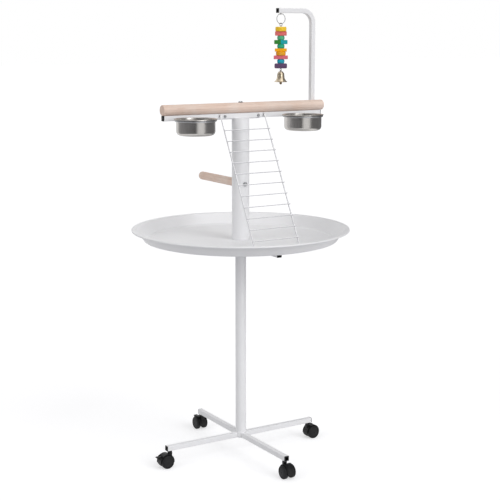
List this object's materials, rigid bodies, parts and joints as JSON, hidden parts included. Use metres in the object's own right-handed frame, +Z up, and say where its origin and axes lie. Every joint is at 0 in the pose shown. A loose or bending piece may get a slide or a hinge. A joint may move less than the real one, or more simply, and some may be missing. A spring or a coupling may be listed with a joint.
{
  "type": "bird feeding stand",
  "caption": "White rolling play stand for small parrots with a round seed tray, wooden perches, a wire ladder, steel feeding bowls and a bent arm that carries a block toy with a bell",
  "frame": {"origin": "on the floor under the middle of the tray and pole", "axes": "+X along the main perch towards the arm, +Y to the back along the side perch, +Z up"},
  "size_m": [0.6399, 0.64, 1.3257],
  "materials": {
    "white_metal": "white powder coat, satin",
    "black_plastic": "moulded black plastic, satin",
    "wheel_plastic": "hard black plastic, slightly worn",
    "perch_wood": "sanded pale dowel, unvarnished",
    "bowl_steel": "brushed stainless steel",
    "zinc_steel": "zinc-plated steel",
    "bell_metal": "pale antique brass",
    "wood_yellow": "stained wood, yellow",
    "wood_coral": "stained wood, coral",
    "wood_green": "stained wood, green to blue",
    "wood_twotone": "stained wood, half green and half teal",
    "wood_amber": "stained wood, amber",
    "wood_orange": "stained wood, orange yellow",
    "wood_pink": "stained wood, pink red",
    "wood_purple": "stained wood, purple"
  },
  "bodies": {
    "stand": {"base_hub": "white_metal", "leg_left": "white_metal", "leg_right": "white_metal", "leg_front": "white_metal", "leg_back": "white_metal", "lower_pole": "white_metal", "support_bar": "white_metal", "tray": "white_metal", "upper_post": "white_metal", "post_bracket": "white_metal", "crossbar": "white_metal", "arm_socket": "white_metal", "leg_caps": "black_plastic", "crossbar_caps": "black_plastic", "support_bar_caps": "black_plastic", "arm_thumbscrew": "black_plastic", "caster_stems": "zinc_steel", "tray_stud": "zinc_steel", "post_foot_plug": "zinc_steel", "crossbar_bolts": "zinc_steel", "perch_bolt": "zinc_steel", "side_perch_bolt": "zinc_steel", "wing_nuts": "zinc_steel", "main_perch": "perch_wood", "side_perch": "perch_wood", "bowl_ring_left": "bowl_steel", "bowl_ring_right": "bowl_steel"},
    "ladder": {"ladder_rails": "white_metal", "ladder_rungs": "white_metal"},
    "bowl_left_body": {"bowl_left": "bowl_steel"},
    "bowl_right_body": {"bowl_right": "bowl_steel"},
    "arm": {"toy_arm": "white_metal", "toy_arm_cap": "black_plastic", "toy_arm_loop": "white_metal"},
    "toy_hoop": {"toy_ring": "zinc_steel"},
    "toy_stack": {"toy_rod": "zinc_steel", "disc_yellow": "wood_yellow", "block_coral": "wood_coral", "toy_beads": "wood_green", "block_twotone": "wood_twotone", "block_amber": "wood_amber", "disc_orange": "wood_orange", "block_pink": "wood_pink", "block_purple": "wood_purple"},
    "bell_body": {"bell": "bell_metal"},
    "clapper_body": {"clapper": "bell_metal"},
    "caster_left": {"caster_housing_left": "black_plastic", "caster_axle_left": "zinc_steel"},
    "wheels_left": {"caster_wheels_left": "wheel_plastic"},
    "caster_right": {"caster_housing_right": "black_plastic", "caster_axle_right": "zinc_steel"},
    "wheels_right": {"caster_wheels_right": "wheel_plastic"},
    "caster_front": {"caster_housing_front": "black_plastic", "caster_axle_front": "zinc_steel"},
    "wheels_front": {"caster_wheels_front": "wheel_plastic"},
    "caster_back": {"caster_housing_back": "black_plastic", "caster_axle_back": "zinc_steel"},
    "wheels_back": {"caster_wheels_back": "wheel_plastic"},
    "brake_left": {"brake_lever_left": "black_plastic"},
    "brake_back": {"brake_lever_back": "black_plastic"}
  },
  "joints": [
    {"name": "caster_swivel_left", "type": "hinge", "parent": "stand", "child": "caster_left", "pos_m": [-0.243, 0, 0.04], "axis": [0, 0, 1], "continuous": true},
    {"name": "wheels_roll_left", "type": "hinge", "parent": "caster_left", "child": "wheels_left", "pos_m": [-0.257, 0, 0.02], "axis": [0, -1, 0], "continuous": true},
    {"name": "caster_swivel_right", "type": "hinge", "parent": "stand", "child": "caster_right", "pos_m": [0.243, 0, 0.04], "axis": [0, 0, 1], "continuous": true},
    {"name": "wheels_roll_right", "type": "hinge", "parent": "caster_right", "child": "wheels_right", "pos_m": [0.257, 0, 0.02], "axis": [0, 1, 0], "continuous": true},
    {"name": "caster_swivel_front", "type": "hinge", "parent": "stand", "child": "caster_front", "pos_m": [0, -0.243, 0.04], "axis": [0, 0, 1], "continuous": true},
    {"name": "wheels_roll_front", "type": "hinge", "parent": "caster_front", "child": "wheels_front", "pos_m": [0, -0.257, 0.02], "axis": [1, 0, 0], "continuous": true},
    {"name": "caster_swivel_back", "type": "hinge", "parent": "stand", "child": "caster_back", "pos_m": [0, 0.243, 0.04], "axis": [0, 0, 1], "continuous": true},
    {"name": "wheels_roll_back", "type": "hinge", "parent": "caster_back", "child": "wheels_back", "pos_m": [0, 0.257, 0.02], "axis": [-1, 0, 0], "continuous": true},
    {"name": "brake_press_left", "type": "hinge", "parent": "caster_left", "child": "brake_left", "pos_m": [-0.27409, 0, 0.03539], "axis": [0, -1, 0], "range_deg": [0, 12]},
    {"name": "brake_press_back", "type": "hinge", "parent": "caster_back", "child": "brake_back", "pos_m": [0, 0.27409, 0.03539], "axis": [-1, 0, 0], "range_deg": [0, 12]},
    {"name": "bowl_lift_left", "type": "slide", "parent": "stand", "child": "bowl_left_body", "axis": [0, 0, 1], "range_m": [0, 0.06]},
    {"name": "bowl_lift_right", "type": "slide", "parent": "stand", "child": "bowl_right_body", "axis": [0, 0, 1], "range_m": [0, 0.06]},
    {"name": "ladder_swing", "type": "hinge", "parent": "stand", "child": "ladder", "pos_m": [0, -0.0069, 1.021], "axis": [1, 0, 0], "range_deg": [-35, 0]},
    {"name": "arm_swivel", "type": "hinge", "parent": "stand", "child": "arm", "pos_m": [0.265, 0.02504, 1.027], "axis": [0, 0, 1], "range_deg": [-90, 90]},
    {"name": "hoop_swing", "type": "hinge", "parent": "arm", "child": "toy_hoop", "pos_m": [0.154, 0.02504, 1.3072], "axis": [0, 1, 0], "range_deg": [-20, 20]},
    {"name": "stack_swing", "type": "hinge", "parent": "toy_hoop", "child": "toy_stack", "pos_m": [0.154, 0.02504, 1.2805], "axis": [1, 0, 0], "range_deg": [-25, 25]},
    {"name": "bell_swing", "type": "hinge", "parent": "toy_stack", "child": "bell_body", "pos_m": [0.154, 0.02504, 1.144], "axis": [1, 0, 0], "range_deg": [-25, 25]},
    {"name": "clapper_swing", "type": "hinge", "parent": "bell_body", "child": "clapper_body", "pos_m": [0.154, 0.02504, 1.1377], "axis": [0, 1, 0], "range_deg": [-20, 20]}
  ]
}
